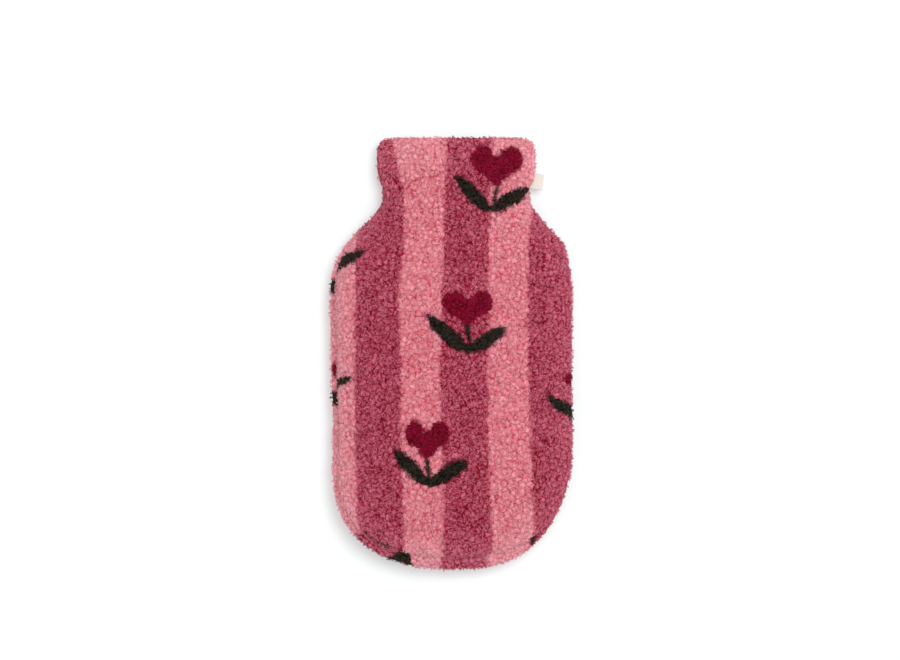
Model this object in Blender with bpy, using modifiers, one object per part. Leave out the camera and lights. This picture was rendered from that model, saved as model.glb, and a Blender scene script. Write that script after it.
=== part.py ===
"""Hot water bottle cover: a hollow pouch of striped teddy fleece, lying on its back.

Two bottle-shaped panels, front and back, are sewn together down both sides and round the
bottom. The neck's top edge is left open for the bottle. A folded tape label is caught in the
seam at the right of the neck. Metres, +Z up, the neck towards +Y and the front panel on top.
The origin is under the middle of the cover, on the surface that it lies on.
"""

import bisect
import math

import bmesh
import bpy
from mathutils import Matrix, Vector

# The cloth
FLEECE_THICKNESS = 0.006  # knit back and pile together
SEAM_GAP = 0.0003  # the hairline between the two panels' sewn edges
HEM_ROLL = 0.004  # how far the turned-in mouth edge rounds over

# The outline, seen from above. Heights are measured from the cover's bottom edge.
COVER_LENGTH = 0.3698
BOTTOM_ROUND = 0.103  # height at which the round bottom ends
BOTTOM_FULLNESS = 2.52  # 2 would be an ellipse, more is squarer
MOUTH_CORNER = 0.0100  # radius of the neck's two top corners

# The seam is drawn in from the cover's widest line, and the panels swell past it. The swelling
# is measured on its own: the crown, which leans inwards as it rises, takes part of it back.
DRAWN_IN_SIDE = 0.003
DRAWN_IN_BOTTOM = 0.014
SWELL_SIDE = 0.0040  # both panels, at each side
SWELL_TWIST = 0.0012  # more than that for the back at the left and for the front at the right
SWELL_LEAN = {"front": -0.6, "back": 1.0}  # and for each metre that the seam leans in at the left
SWELL_BOTTOM = {"front": 0.001, "back": 0.0176}
SWELL_BOTTOM_LEAN = 0.10  # as a share of that, how much more at the right
SWELL_SCALE = 27.0 / 4.0  # makes the swelling's highest value 1
INNER_SWELL = 0.5  # the cloth is bunched in the rim, so its inner face swells less there
SEAM_ROLL = 0.035  # how much higher the seam lies for each metre to the left
CROWN_FLATNESS = 3.0  # how flat a panel's middle is; its edges always start steeply

# One row a station: height above the bottom edge, half width, shift of the middle to the right,
# height of the seam, how far the front rises above the seam and the back drops below it, and how
# much further in the seam lies at the left, where the back shows past it.
# The back would drop through the surface where the drop is more than the seam's height, so
# it lies flat there.
Y, HALF_WIDTH, SHIFT, SEAM, RISE, DROP, LEAN = range(7)
STATIONS = (
    (0.000, 0.1010, 0.0008, 0.0330, 0.0115, 0.0350, 0.0030),
    (0.040, 0.1010, -0.0013, 0.0305, 0.0152, 0.0330, 0.0030),
    (0.103, 0.1010, 0.0020, 0.0235, 0.0222, 0.0265, 0.0030),
    (0.175, 0.1016, 0.0011, 0.0210, 0.0243, 0.0240, 0.0030),
    (0.243, 0.1021, 0.0007, 0.0200, 0.0242, 0.0228, 0.0030),
    (0.264, 0.0987, 0.0012, 0.0195, 0.0232, 0.0220, 0.0026),
    (0.279, 0.0927, 0.0032, 0.0190, 0.0218, 0.0208, 0.0020),
    (0.294, 0.0797, 0.0034, 0.0182, 0.0198, 0.0192, 0.0012),
    (0.304, 0.0706, 0.0038, 0.0176, 0.0182, 0.0178, 0.0006),
    (0.316, 0.0630, 0.0038, 0.0168, 0.0166, 0.0160, 0.0000),
    (0.328, 0.0634, 0.0038, 0.0160, 0.0154, 0.0146, 0.0000),
    (0.342, 0.0674, 0.0038, 0.0153, 0.0144, 0.0134, 0.0000),
    (0.3698, 0.0676, 0.0038, 0.0145, 0.0135, 0.0125, 0.0000),
)

# Soft creases across the front of the neck, a row each: where the middle is, its direction,
# half its length, half its width, its depth
CREASES = (
    ((-0.0265, 0.3395), (0.97, 0.24), 0.024, 0.0075, 0.0016),
    ((-0.0500, 0.3440), (0.74, -0.67), 0.016, 0.0075, 0.0014),
    ((0.0120, 0.3060), (1.00, 0.05), 0.050, 0.0120, 0.0012),
)
SLACK_HEIGHT = 0.0008  # gentle rise and fall of the front
SLACK_ACROSS = 0.021
SLACK_ALONG = 0.034

# The label: woven tape folded double, its ends sewn into the right neck seam
LABEL_Y = 0.3310
LABEL_WIDTH = 0.0135  # along the seam
LABEL_SUNK = 0.0045  # inside the seam
LABEL_SHOWING = 0.0118  # past the seam
LABEL_THICKNESS = 0.0012
LABEL_LEAN = math.radians(-11.0)
LABEL_ROOM = LABEL_THICKNESS / 2 + 0.00035  # how far each panel's edge stands off for it
LABEL_EASE = 0.010  # the edges close together again over this length

# The grid of each panel: cells across and along, and how they widen away from the seam
CELLS_ACROSS = 28
CELLS_ALONG = 48
FIRST_CELL = 1.0
CELL_GROWTH = 1.4
WIDEST_CELL = 8.5

COLOURS = {
    "front_panel": (0.52, 0.13, 0.19, 1.0),
    "back_panel": (0.46, 0.11, 0.17, 1.0),
    "side_label": (0.86, 0.80, 0.72, 1.0),
}


def ease(value):
    """From 0 to 1 with level ends."""
    value = min(max(value, 0.0), 1.0)
    return value * value * (3.0 - 2.0 * value)


def station(column, y):
    """A column of the station table at any height, on a smooth curve through its rows."""
    k = bisect.bisect_right([row[Y] for row in STATIONS], y) - 1
    k = min(max(k, 0), len(STATIONS) - 2)
    below, above = STATIONS[k], STATIONS[k + 1]
    before, after = STATIONS[max(k - 1, 0)], STATIONS[min(k + 2, len(STATIONS) - 1)]
    span = above[Y] - below[Y]
    t = min(max((y - below[Y]) / span, 0.0), 1.0)
    slope_in = (above[column] - before[column]) / (above[Y] - before[Y]) * span
    slope_out = (after[column] - below[column]) / (after[Y] - below[Y]) * span
    return (
        below[column] * (2 * t**3 - 3 * t**2 + 1)
        + slope_in * (t**3 - 2 * t**2 + t)
        + above[column] * (3 * t**2 - 2 * t**3)
        + slope_out * (t**3 - t**2)
    )


def bottom_reach(inset):
    """How far the round bottom reaches down to the seam, or to the cloth's inner face."""
    return BOTTOM_ROUND - DRAWN_IN_BOTTOM - inset


def side_reach(inset):
    return STATIONS[0][HALF_WIDTH] - DRAWN_IN_SIDE - inset


def half_width(y, inset):
    """Half the width between the seams at height y, less the inset."""
    if y < BOTTOM_ROUND:
        down = min((BOTTOM_ROUND - y) / bottom_reach(inset), 1.0)
        return side_reach(inset) * (1.0 - down**BOTTOM_FULLNESS) ** (1.0 / BOTTOM_FULLNESS)
    past = max(y - (COVER_LENGTH - MOUTH_CORNER), 0.0)
    corner = MOUTH_CORNER - math.sqrt(max(MOUTH_CORNER**2 - past**2, 0.0))
    return station(HALF_WIDTH, y) - DRAWN_IN_SIDE - inset - corner


def crown(aside, y, inset):
    """The crown's height as a share: 1 on the middle line, falling steeply to 0 at the seam."""
    if y >= BOTTOM_ROUND:
        closeness = abs(aside) / half_width(y, inset)
    else:
        across = abs(aside) / side_reach(inset)
        down = (BOTTOM_ROUND - y) / bottom_reach(inset)
        closeness = (across**BOTTOM_FULLNESS + down**BOTTOM_FULLNESS) ** (1.0 / BOTTOM_FULLNESS)
    return math.sqrt(max(1.0 - closeness**CROWN_FLATNESS, 0.0))


def seam_height(x, y):
    return station(SEAM, y) - SEAM_ROLL * x


def half_gap(x, y):
    """Half the gap between the panels' edges, wider where the label passes between them."""
    past_label = (abs(y - LABEL_Y) - 0.65 * LABEL_WIDTH) / LABEL_EASE
    at_label = (1.0 - ease(past_label)) * ease(x / half_width(LABEL_Y, 0.0) * 2.0 - 0.8)
    return SEAM_GAP / 2 + (LABEL_ROOM - SEAM_GAP / 2) * at_label


def hem_roll(y):
    """How far the outer face has rounded over on its way to the mouth's edge."""
    past = max(y - (COVER_LENGTH - HEM_ROLL), 0.0)
    return HEM_ROLL - math.sqrt(max(HEM_ROLL**2 - past**2, 0.0))


def crease_depth(x, y):
    depth = 0.0
    for middle, direction, half_length, half_thick, deepest in CREASES:
        away = Vector((x, y)) - Vector(middle)
        direction = Vector(direction).normalized()
        along = away.dot(direction) / half_length
        aside = away.cross(direction) / half_thick
        depth += deepest / (1.0 + aside**4) * (1.0 - ease(abs(along)))
    return depth


def slack(x, y):
    slant = x / SLACK_ACROSS + 0.4 * y / SLACK_ALONG
    return SLACK_HEIGHT * math.sin(slant) * math.cos(y / SLACK_ALONG)


def cloth_point(side, aside, y, inset):
    """A point of one panel's outer face (inset 0) or inner face, from its place in plan."""
    x = aside + station(SHIFT, y)
    share = crown(aside, y, inset)
    rolled = hem_roll(y) if inset == 0.0 else 0.0
    if side == "front":
        rise = station(RISE, y) - inset - rolled - crease_depth(x, y) + slack(x, y)
        z = seam_height(x, y) + half_gap(x, y) + rise * share
        twist = SWELL_TWIST
    else:
        drop = station(DROP, y) - inset - rolled
        z = max(seam_height(x, y) - half_gap(x, y) - drop * share, inset)
        twist = -SWELL_TWIST
    swell = SWELL_SCALE * share * (1.0 - share) ** 2
    inner = 1.0 if inset == 0.0 else INNER_SWELL
    outward = aside / half_width(max(y, BOTTOM_ROUND), inset)
    lean = inner * SWELL_LEAN[side] * station(LEAN, y) * max(-outward, 0.0)
    x += outward * (SWELL_SIDE + twist * outward + lean) * swell
    downward = max(BOTTOM_ROUND - y, 0.0) / bottom_reach(inset)
    low = inner * SWELL_BOTTOM[side] * 4.0 * share * (1.0 - share)
    low *= 1.0 + SWELL_BOTTOM_LEAN * outward
    return Vector((x, y - downward * low, z))


def spaced(cells, lead):
    """Cell edges from 0 to 1, close together at the start and, less so by the lead, at the end."""
    steps = [
        min(FIRST_CELL + CELL_GROWTH * min(k, cells - 1 - k + lead), WIDEST_CELL)
        for k in range(cells)
    ]
    return [sum(steps[:k]) / sum(steps) for k in range(cells + 1)]


def plan_rows(inset):
    """Places in plan, row by row: level rows from seam to seam, the lowest bent to the bottom."""
    corner = 0.5 ** (1.0 / BOTTOM_FULLNESS)
    corner_y = BOTTOM_ROUND - bottom_reach(inset) * corner
    rows = []
    for along in spaced(CELLS_ALONG, 1):
        side_y = corner_y + (COVER_LENGTH - corner_y) * along
        row = []
        for across in spaced(CELLS_ACROSS, 0):
            out = 2.0 * across - 1.0
            depth = (1.0 - abs(out * corner) ** BOTTOM_FULLNESS) ** (1.0 / BOTTOM_FULLNESS)
            bend = (corner - depth) * bottom_reach(inset)
            row.append((out * half_width(side_y, inset), side_y + bend * (1.0 - along) ** 4))
        rows.append(row)
    return rows


def rim_of(rows):
    """The edge of a grid, once round."""
    sides = [row[-1] for row in rows[1:-1]], [row[0] for row in rows[-2:0:-1]]
    return rows[0] + sides[0] + rows[-1][::-1] + sides[1]


def fill_rows(bm, rows):
    for lower, upper in zip(rows, rows[1:]):
        for k in range(len(lower) - 1):
            bm.faces.new((lower[k], lower[k + 1], upper[k + 1], upper[k]))


def add_object(name, bm, collection):
    """A named object with its own material, shaded smooth but for its cut edges."""
    bmesh.ops.recalc_face_normals(bm, faces=bm.faces)
    mesh = bpy.data.meshes.new(name)
    bm.to_mesh(mesh)
    bm.free()
    mesh.shade_smooth()
    mesh.set_sharp_from_angle(angle=math.radians(50.0))
    material = bpy.data.materials.new(name + "_cloth")
    material.use_nodes = True
    shader = material.node_tree.nodes["Principled BSDF"]
    shader.inputs["Base Color"].default_value = COLOURS[name]
    shader.inputs["Roughness"].default_value = 0.95
    shader.inputs["Metallic"].default_value = 0.0
    mesh.materials.append(material)
    obj = bpy.data.objects.new(name, mesh)
    collection.objects.link(obj)
    return obj


def add_panel(side, collection):
    """One panel: its outer and inner faces, lofted together along the seam and the mouth."""
    bm = bmesh.new()
    faces = []
    for inset in (0.0, FLEECE_THICKNESS):
        rows = [
            [bm.verts.new(cloth_point(side, aside, y, inset)) for aside, y in row]
            for row in plan_rows(inset)
        ]
        fill_rows(bm, rows)
        faces.append(rim_of(rows))
    outer, inner = faces
    for k in range(len(outer)):
        bm.faces.new((outer[k - 1], outer[k], inner[k], inner[k - 1]))
    return add_object(side + "_panel", bm, collection)


def add_label(collection):
    """The tape's two layers as one thin sheet between the panels' edges, at the seam's height."""
    seam_x = half_width(LABEL_Y, 0.0) + station(SHIFT, LABEL_Y)
    length = LABEL_SUNK + LABEL_SHOWING
    bm = bmesh.new()
    bmesh.ops.create_grid(bm, x_segments=6, y_segments=5, size=0.5)
    bmesh.ops.scale(bm, vec=(length, LABEL_WIDTH, 1.0), verts=bm.verts)
    bmesh.ops.translate(bm, vec=(length / 2 - LABEL_SUNK, 0.0, 0.0), verts=bm.verts)
    bmesh.ops.rotate(bm, matrix=Matrix.Rotation(LABEL_LEAN, 3, "Z"), verts=bm.verts)
    bmesh.ops.translate(bm, vec=(seam_x, LABEL_Y, 0.0), verts=bm.verts)
    for vert in bm.verts:
        vert.co.z = seam_height(vert.co.x, vert.co.y)
    label = add_object("side_label", bm, collection)
    tape = label.modifiers.new("tape", "SOLIDIFY")
    tape.thickness = LABEL_THICKNESS
    tape.offset = 0.0
    return label


def stand_over_origin(objects):
    """Puts the middle of the cover over the origin, seen from above."""
    corners = [Vector(corner) for obj in objects for corner in obj.bound_box]
    for axis in (0, 1):
        places = [corner[axis] for corner in corners]
        middle = (min(places) + max(places)) / 2
        for obj in objects:
            obj.location[axis] -= middle


def main():
    for obj in list(bpy.data.objects):
        bpy.data.objects.remove(obj, do_unlink=True)
    collection = bpy.data.collections.new("hot_water_bottle_cover")
    bpy.context.scene.collection.children.link(collection)
    objects = [add_panel("front", collection), add_panel("back", collection)]
    objects.append(add_label(collection))
    stand_over_origin(objects)


main()
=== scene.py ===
"""Hot water bottle cover in striped teddy fleece, laid on a pale floor and seen from above.

Metres, +Z up, the neck towards +Y, the middle of the cover over the origin, as in the CAD.
"""

import math

import bmesh
import bpy
import numpy as np
from mathutils import Matrix, Vector, noise
from mathutils.kdtree import KDTree


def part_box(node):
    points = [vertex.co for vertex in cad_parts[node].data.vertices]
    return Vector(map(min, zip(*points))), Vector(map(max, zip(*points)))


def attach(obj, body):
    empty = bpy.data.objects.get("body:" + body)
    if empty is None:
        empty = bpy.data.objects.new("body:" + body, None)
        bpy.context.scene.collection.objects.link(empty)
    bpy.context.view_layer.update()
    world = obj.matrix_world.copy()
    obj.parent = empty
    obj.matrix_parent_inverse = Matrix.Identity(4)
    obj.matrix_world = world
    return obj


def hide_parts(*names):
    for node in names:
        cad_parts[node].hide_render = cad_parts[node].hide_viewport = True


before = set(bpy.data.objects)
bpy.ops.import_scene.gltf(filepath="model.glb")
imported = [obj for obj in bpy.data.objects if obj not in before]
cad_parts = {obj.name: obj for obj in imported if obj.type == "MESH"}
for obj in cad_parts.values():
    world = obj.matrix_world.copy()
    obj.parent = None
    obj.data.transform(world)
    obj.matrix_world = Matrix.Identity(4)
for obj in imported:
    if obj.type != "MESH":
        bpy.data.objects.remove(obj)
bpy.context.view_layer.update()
MM = 0.001


# ---------------------------------------------------------------------------------------------
# Front panel. The bottle-shaped front, cut from teddy fleece: a knitted back that carries a
# thick curly pile. It is sewn to the back panel down both sides and round the bottom, and its
# mouth edge is turned in as a hem. The fleece is knitted in stripes with small tulips.

FLEECE_THICKNESS = 6.0 * MM  # knit back and pile together
SEAM_GAP = 0.3 * MM  # between the two panels' edges
HEM_ROLL = 4.0 * MM  # how far the mouth's edge rounds over
HEM_DEPTH = 12.0 * MM  # how far the pile side is turned into the mouth

# The outline, heights measured from the cover's bottom edge
COVER_LENGTH = 0.3698
BOTTOM_ROUND = 0.103  # where the round bottom meets the sides
BOTTOM_FULLNESS = 2.52  # 2 would be a plain ellipse, and more is squarer
MOUTH_CORNER = 0.0100
DRAWN_IN_SIDE = 0.003  # the seam lies inside the cover's widest line
DRAWN_IN_BOTTOM = 0.014
SWELL_SIDE = 0.0040  # and both panels swell past it
SWELL_TWIST = 0.0012  # the front more at the right, the back more at the left
SWELL_LEAN = {"front": -0.6, "back": 1.0}  # share of the seam's lean at the left, for each
SWELL_BOTTOM = {"front": 0.001, "back": 0.0176}
SWELL_BOTTOM_LEAN = 0.10  # more at the right
SWELL_SCALE = 27.0 / 4.0  # brings the top of the swell's curve to 1
INNER_SWELL = 0.5  # the inner faces swell less
SEAM_ROLL = 0.035  # the seam climbs this share of the way towards the left
CROWN_FLATNESS = 3.0  # 2 would be a round crown, and more is flatter on top

# Height, half width, shift of the middle, seam height, rise of the front, drop of the back, and
# how much further in the seam lies at the left
Y, HALF_WIDTH, SHIFT, SEAM, RISE, DROP, LEAN = range(7)
STATIONS = np.array(
    (
        (0.000, 0.1010, 0.0008, 0.0330, 0.0115, 0.0350, 0.0030),
        (0.040, 0.1010, -0.0013, 0.0305, 0.0152, 0.0330, 0.0030),
        (0.103, 0.1010, 0.0020, 0.0235, 0.0222, 0.0265, 0.0030),
        (0.175, 0.1016, 0.0011, 0.0210, 0.0243, 0.0240, 0.0030),
        (0.243, 0.1021, 0.0007, 0.0200, 0.0242, 0.0228, 0.0030),
        (0.264, 0.0987, 0.0012, 0.0195, 0.0232, 0.0220, 0.0026),
        (0.279, 0.0927, 0.0032, 0.0190, 0.0218, 0.0208, 0.0020),
        (0.294, 0.0797, 0.0034, 0.0182, 0.0198, 0.0192, 0.0012),
        (0.304, 0.0706, 0.0038, 0.0176, 0.0182, 0.0178, 0.0006),
        (0.316, 0.0630, 0.0038, 0.0168, 0.0166, 0.0160, 0.0000),
        (0.328, 0.0634, 0.0038, 0.0160, 0.0154, 0.0146, 0.0000),
        (0.342, 0.0674, 0.0038, 0.0153, 0.0144, 0.0134, 0.0000),
        (0.3698, 0.0676, 0.0038, 0.0145, 0.0135, 0.0125, 0.0000),
    )
)

# Soft creases across the neck: middle, direction, half length, half width, depth
CREASES = (
    ((-0.0265, 0.3395), (0.97, 0.24), 0.024, 0.0075, 0.0016),
    ((-0.0500, 0.3440), (0.74, -0.67), 0.016, 0.0075, 0.0014),
    ((0.0120, 0.3060), (1.00, 0.05), 0.050, 0.0120, 0.0012),
)
# Where the cloth folds sharply enough to part the pile, in mm from the cover's middle
FOLDS = (
    ((-37.8, 140.2), (-34.3, 145.6), (-29.3, 149.0), (-21.2, 150.3), (-13.0, 151.2), (-7.2, 154.2)),
    ((-14.4, 174.0), (-13.6, 168.0), (-15.0, 162.0)),
    ((-53.0, 152.0), (-46.5, 146.5), (-43.5, 139.0)),
)
FOLD_WIDTH = 1.0  # mm, half of it
FOLD_PARTING = 0.6  # share of the pile's height that a fold takes

# The front's gentle rise and fall, which runs a little askew
SLACK_HEIGHT = 0.0008
SLACK_ACROSS = 0.021
SLACK_ALONG = 0.034
SLACK_SLANT = 0.4

# The side label's place, because the panels' edges open a little for it
LABEL_Y = 0.3310
LABEL_WIDTH = 0.0135
LABEL_THICKNESS = 0.0012
LABEL_ROOM = LABEL_THICKNESS / 2 + 0.35 * MM
LABEL_REACH = 0.65  # half the opening's length, as a share of the label's width
LABEL_EASE = 0.010  # and the edges close again over this length


def ease(value):
    """From 0 to 1 with level ends."""
    value = np.clip(value, 0.0, 1.0)
    return value * value * (3.0 - 2.0 * value)


def station(column, y):
    """A column of the station table at any heights, on a smooth curve through its rows."""
    last = len(STATIONS) - 1
    k = np.clip(np.searchsorted(STATIONS[:, Y], y, side="right") - 1, 0, last - 1)
    below, above = STATIONS[k], STATIONS[k + 1]
    before, after = STATIONS[np.maximum(k - 1, 0)], STATIONS[np.minimum(k + 2, last)]
    span = above[..., Y] - below[..., Y]
    t = np.clip((y - below[..., Y]) / span, 0.0, 1.0)
    rise_in = (above[..., column] - before[..., column]) / (above[..., Y] - before[..., Y]) * span
    rise_out = (after[..., column] - below[..., column]) / (after[..., Y] - below[..., Y]) * span
    return (
        below[..., column] * (2 * t**3 - 3 * t**2 + 1)
        + rise_in * (t**3 - 2 * t**2 + t)
        + above[..., column] * (3 * t**2 - 2 * t**3)
        + rise_out * (t**3 - t**2)
    )


def bottom_reach(inset):
    """How far the round bottom reaches down to the seam, less the inset."""
    return BOTTOM_ROUND - DRAWN_IN_BOTTOM - inset


def side_reach(inset):
    """How far the round bottom reaches out to the seam, less the inset."""
    return STATIONS[0, HALF_WIDTH] - DRAWN_IN_SIDE - inset


def half_width(y, inset):
    """Half the width between the seams at height y, less the inset."""
    down = np.clip((BOTTOM_ROUND - y) / bottom_reach(inset), 0.0, 1.0)
    low = side_reach(inset) * (1.0 - down**BOTTOM_FULLNESS) ** (1.0 / BOTTOM_FULLNESS)
    past = np.maximum(y - (COVER_LENGTH - MOUTH_CORNER), 0.0)
    corner = MOUTH_CORNER - np.sqrt(np.maximum(MOUTH_CORNER**2 - past**2, 0.0))
    high = station(HALF_WIDTH, y) - DRAWN_IN_SIDE - inset - corner
    return np.where(y < BOTTOM_ROUND, low, high)


def closeness(aside, y, inset):
    """How close to the seam: 0 on the middle line, 1 at the seam."""
    across = np.abs(aside) / side_reach(inset)
    down = np.maximum(BOTTOM_ROUND - y, 0.0) / bottom_reach(inset)
    low = (across**BOTTOM_FULLNESS + down**BOTTOM_FULLNESS) ** (1.0 / BOTTOM_FULLNESS)
    high = np.abs(aside) / half_width(np.maximum(y, BOTTOM_ROUND), inset)
    return np.minimum(np.where(y < BOTTOM_ROUND, low, high), 1.0)


def seam_height(x, y):
    """How high the seam's plane lies."""
    return station(SEAM, y) - SEAM_ROLL * x


def half_gap(x, y):
    """Half the gap between the panels' edges, wider where the label passes between them."""
    past_label = (np.abs(y - LABEL_Y) - LABEL_REACH * LABEL_WIDTH) / LABEL_EASE
    to_right = x / half_width(LABEL_Y, 0.0) * 2.0 - 0.8  # from 0.4 to 0.9 of the way to the seam
    at_label = (1.0 - ease(past_label)) * ease(to_right)
    return SEAM_GAP / 2 + (LABEL_ROOM - SEAM_GAP / 2) * at_label


def crease_depth(x, y):
    """How far the neck's creases lower the front."""
    depth = 0.0
    for middle, direction, half_length, half_thick, deepest in CREASES:
        dx, dy = np.array(direction) / np.hypot(*direction)
        along = ((x - middle[0]) * dx + (y - middle[1]) * dy) / half_length
        aside = ((x - middle[0]) * dy - (y - middle[1]) * dx) / half_thick
        depth = depth + deepest / (1.0 + aside**4) * (1.0 - ease(np.abs(along)))
    return depth


def distance(u, v, start, end):
    """How far the places are from a line between two points."""
    (ax, ay), (bx, by) = start, end
    along = ((u - ax) * (bx - ax) + (v - ay) * (by - ay)) / math.hypot(bx - ax, by - ay) ** 2
    along = np.clip(along, 0.0, 1.0)
    return np.hypot(u - ax - (bx - ax) * along, v - ay - (by - ay) * along)


def fold_depth(u, v):
    """How far the pile is parted, from 0 to 1 on the line of a fold."""
    parted = np.zeros_like(u)
    for line in FOLDS:
        for ends in zip(line, line[1:]):
            parted = np.maximum(parted, np.exp(-((distance(u, v, *ends) / FOLD_WIDTH) ** 2)))
    return parted


def slack(x, y):
    """The front's gentle rise and fall."""
    slant = x / SLACK_ACROSS + SLACK_SLANT * y / SLACK_ALONG
    return SLACK_HEIGHT * np.sin(slant) * np.cos(y / SLACK_ALONG)


def cloth_points(side, aside, y, inset):
    """Points of one panel's outer face (inset 0) or inner face, from their places in plan."""
    x = aside + station(SHIFT, y)
    share = np.sqrt(np.maximum(1.0 - closeness(aside, y, inset) ** CROWN_FLATNESS, 0.0))
    past = np.maximum(y - (COVER_LENGTH - HEM_ROLL), 0.0)
    rolled = HEM_ROLL - np.sqrt(np.maximum(HEM_ROLL**2 - past**2, 0.0)) if inset == 0.0 else 0.0
    if side == "front":
        rise = station(RISE, y) - inset - rolled - crease_depth(x, y) + slack(x, y)
        z = seam_height(x, y) + half_gap(x, y) + rise * share
        twist = SWELL_TWIST
    else:
        drop = station(DROP, y) - inset - rolled
        z = np.maximum(seam_height(x, y) - half_gap(x, y) - drop * share, inset)
        twist = -SWELL_TWIST
    swell = SWELL_SCALE * share * (1.0 - share) ** 2
    inner = 1.0 if inset == 0.0 else INNER_SWELL
    outward = aside / half_width(np.maximum(y, BOTTOM_ROUND), inset)
    lean = inner * SWELL_LEAN[side] * station(LEAN, y) * np.maximum(-outward, 0.0)
    x = x + outward * (SWELL_SIDE + twist * outward + lean) * swell
    downward = np.maximum(BOTTOM_ROUND - y, 0.0) / bottom_reach(inset)
    low = inner * SWELL_BOTTOM[side] * 4.0 * share * (1.0 - share)
    low = low * (1.0 + SWELL_BOTTOM_LEAN * outward)
    return np.stack((x, y - downward * low, z), axis=-1)


def plan(inset, across, along):
    """Places in plan for shares across and along: level rows, the lowest bent to the bottom."""
    corner = 0.5 ** (1.0 / BOTTOM_FULLNESS)
    corner_y = BOTTOM_ROUND - bottom_reach(inset) * corner
    side_y = corner_y + (COVER_LENGTH - corner_y) * along[:, None]
    out = (2.0 * across - 1.0)[None, :]
    depth = (1.0 - np.abs(out * corner) ** BOTTOM_FULLNESS) ** (1.0 / BOTTOM_FULLNESS)
    bend = (corner - depth) * bottom_reach(inset)
    return out * half_width(side_y, inset), side_y + bend * (1.0 - along[:, None]) ** 4


def evenly(cells, line):
    """Shares from 0 to 1 that divide a line of points into pieces of the same length."""
    lengths = np.linalg.norm(np.diff(line, axis=0), axis=1)
    walked = np.concatenate(((0.0,), np.cumsum(lengths)))
    shares = np.linspace(0.0, 1.0, len(line))
    return np.interp(np.linspace(0.0, walked[-1], cells + 1), walked, shares)


EVEN_AT = 0.175  # height of the row whose cells are made even


def even_shares(side, cells_across, cells_along):
    """Shares across and along that give a panel's grid cells of about the same size."""
    fine = np.linspace(0.0, 1.0, 4001)
    middle = np.array((0.5,))
    row_y = np.full_like(fine, EVEN_AT)
    row = cloth_points(side, (2.0 * fine - 1.0) * half_width(row_y, 0.0), row_y, 0.0)
    column = cloth_points(side, *plan(0.0, middle, fine), 0.0)[:, 0]
    return evenly(cells_across, row), evenly(cells_along, column)


# How much longer the cloth is than its plan, on the way from the middle to the seam: measured
# along the crown's curve over a half width of 100 mm and a rise of 24 mm, in shares of the 100 mm
CROWN_STEEPNESS = 0.24
PLAN_REACH = np.linspace(0.0, 1.0, 4001)
crown_line = CROWN_STEEPNESS * np.sqrt(1.0 - PLAN_REACH**CROWN_FLATNESS)
crown_walk = np.cumsum(np.hypot(np.diff(PLAN_REACH), np.diff(crown_line)))
CLOTH_LONGER = np.concatenate(((0.0,), crown_walk)) - PLAN_REACH


def cloth_places(aside, y, inset):
    """Where the points lie on the flat cloth, in the CAD's own frame."""
    close = closeness(aside, y, inset)
    wide = half_width(np.maximum(y, BOTTOM_ROUND), inset)
    low = y < BOTTOM_ROUND
    across = np.abs(aside) / side_reach(inset)
    down = np.maximum(BOTTOM_ROUND - y, 0.0) / bottom_reach(inset)
    out_x = np.where(low, across ** (BOTTOM_FULLNESS - 1.0), 1.0) * np.sign(aside)
    out_y = np.where(low, -(down ** (BOTTOM_FULLNESS - 1.0)), 0.0)
    length = np.maximum(np.hypot(out_x, out_y), 1e-6)
    longer = np.interp(close, PLAN_REACH, CLOTH_LONGER) * wide
    x = aside + station(SHIFT, y) + longer * out_x / length
    return np.stack((x, y + longer * out_y / length), axis=-1)


# A panel's grid of cells across and along. Its outer face is fine enough for the pile's clumps.
# The inner face shows in the mouth alone: one cell there for INNER_STEP by INNER_STEP outer ones.
PANEL_CELLS = {"front": (236, 380), "back": (208, 332)}
INNER_STEP = 4

# The pile: curls stuck together in clumps, with narrow clefts between them
CLUMP_SPACING = 3.8 * MM  # least distance between two clumps' middles
CLUMP_CLEFT = 1.35 * MM  # how far a clump's rounded shoulder reaches in from the cleft
CLUMP_DOME = 3.2 * MM  # how far its rounded top reaches out from its middle
CLUMP_DEPTH = 2.1 * MM  # of the deepest cleft
CLUMP_WANDER = 1.5 * MM  # how far the clefts wander from straight
WANDER_OVER = 3.1 * MM  # and over what length they do
CLUMP_SIZES = 1.0 * MM  # how much further some clumps reach than others
CLUMP_HEIGHTS = 0.16  # how much taller or lower some stand
PILE_BED = 0.5 * MM  # how far the clumps' tops lie below the loose curls' tips

# What makes up the pile's height, in shares of its depth
SHOULDER_SHARE = 0.56
DOME_SHARE = 0.34
CURL_SHARE, CURLS_OVER = 0.16, 1.5 * MM  # single curls
SWELL_SHARE, SWELLS_OVER = 0.12, 8.0 * MM  # rise and fall over a few clumps
PILE_LIFT = 0.04  # added all over
MOST_PILE = 1.1
INNER_PILE = 0.45  # for the shade of the inner face, which has no clumps

CLUMP_PULL = 0.45  # how much of a clump takes the colour of its middle, which frays the print
PILE_SEED = {"front": 11, "back": 23}
RIM_LIGHT_BELOW = 0.80  # share of the crown's height below which the pile is painted lighter: painted rim light
RIM_LIGHT_OF_PANEL = {"front": 1.0, "back": 0.5}  # how much of that painted rim light each panel takes
MOUTH_LIGHTER = 0.35  # how much lighter it is painted where the hem turns in
MOUTH_LIGHTER_REACH = 0.045  # and how far down from there


def scattered(points, spacing, seed):
    """Some of the points, in random order, no two of them closer than the spacing."""
    kept, cells = [], {}
    keys = np.floor(points / spacing).astype(int)
    near = [(i, j, k) for i in (-1, 0, 1) for j in (-1, 0, 1) for k in (-1, 0, 1)]
    for index in np.random.default_rng(seed).permutation(len(points)):
        a, b, c = keys[index]
        x, y, z = points[index]
        for i, j, k in near:
            other = cells.get((a + i, b + j, c + k))
            if other is None:
                continue
            if (other[0] - x) ** 2 + (other[1] - y) ** 2 + (other[2] - z) ** 2 < spacing**2:
                break
        else:
            cells[(a, b, c)] = (x, y, z)
            kept.append(index)
    return np.array(kept)


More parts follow.
